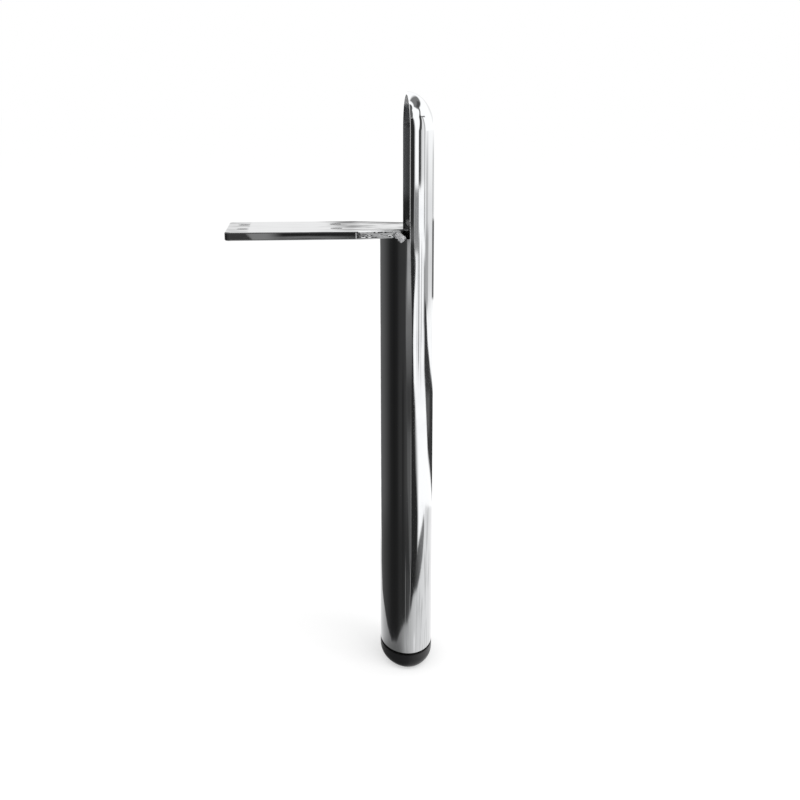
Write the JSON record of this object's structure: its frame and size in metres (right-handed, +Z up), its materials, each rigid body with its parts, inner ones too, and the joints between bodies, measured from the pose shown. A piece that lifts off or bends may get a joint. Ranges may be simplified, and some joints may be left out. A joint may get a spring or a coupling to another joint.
{
  "type": "furniture leg",
  "caption": "Upright oval chromed steel furniture leg with a flat screw-on mounting plate, an open domed half shell above it and a plastic plug foot.",
  "frame": {"origin": "middle of the screw holes, on the mounting plate's upper face, where the furniture rests", "axes": "+Z up along the leg, +X from the furniture's underside to the tube, Y along the tube's depth"},
  "size_m": [0.1123, 0.05, 0.326],
  "materials": {
    "chromed_tube": "bright chrome plate over drawn steel tube",
    "chromed_plate": "bright chrome plate over flat steel",
    "chromed_weld": "chrome plate over a rippled weld",
    "foot_plastic": "moulded, slightly satin"
  },
  "bodies": {
    "root": {"leg_tube": "chromed_tube", "mounting_plate": "chromed_plate", "weld_bead_front": "chromed_weld", "weld_bead_back": "chromed_weld", "foot_cap": "foot_plastic"}
  },
  "joints": []
}
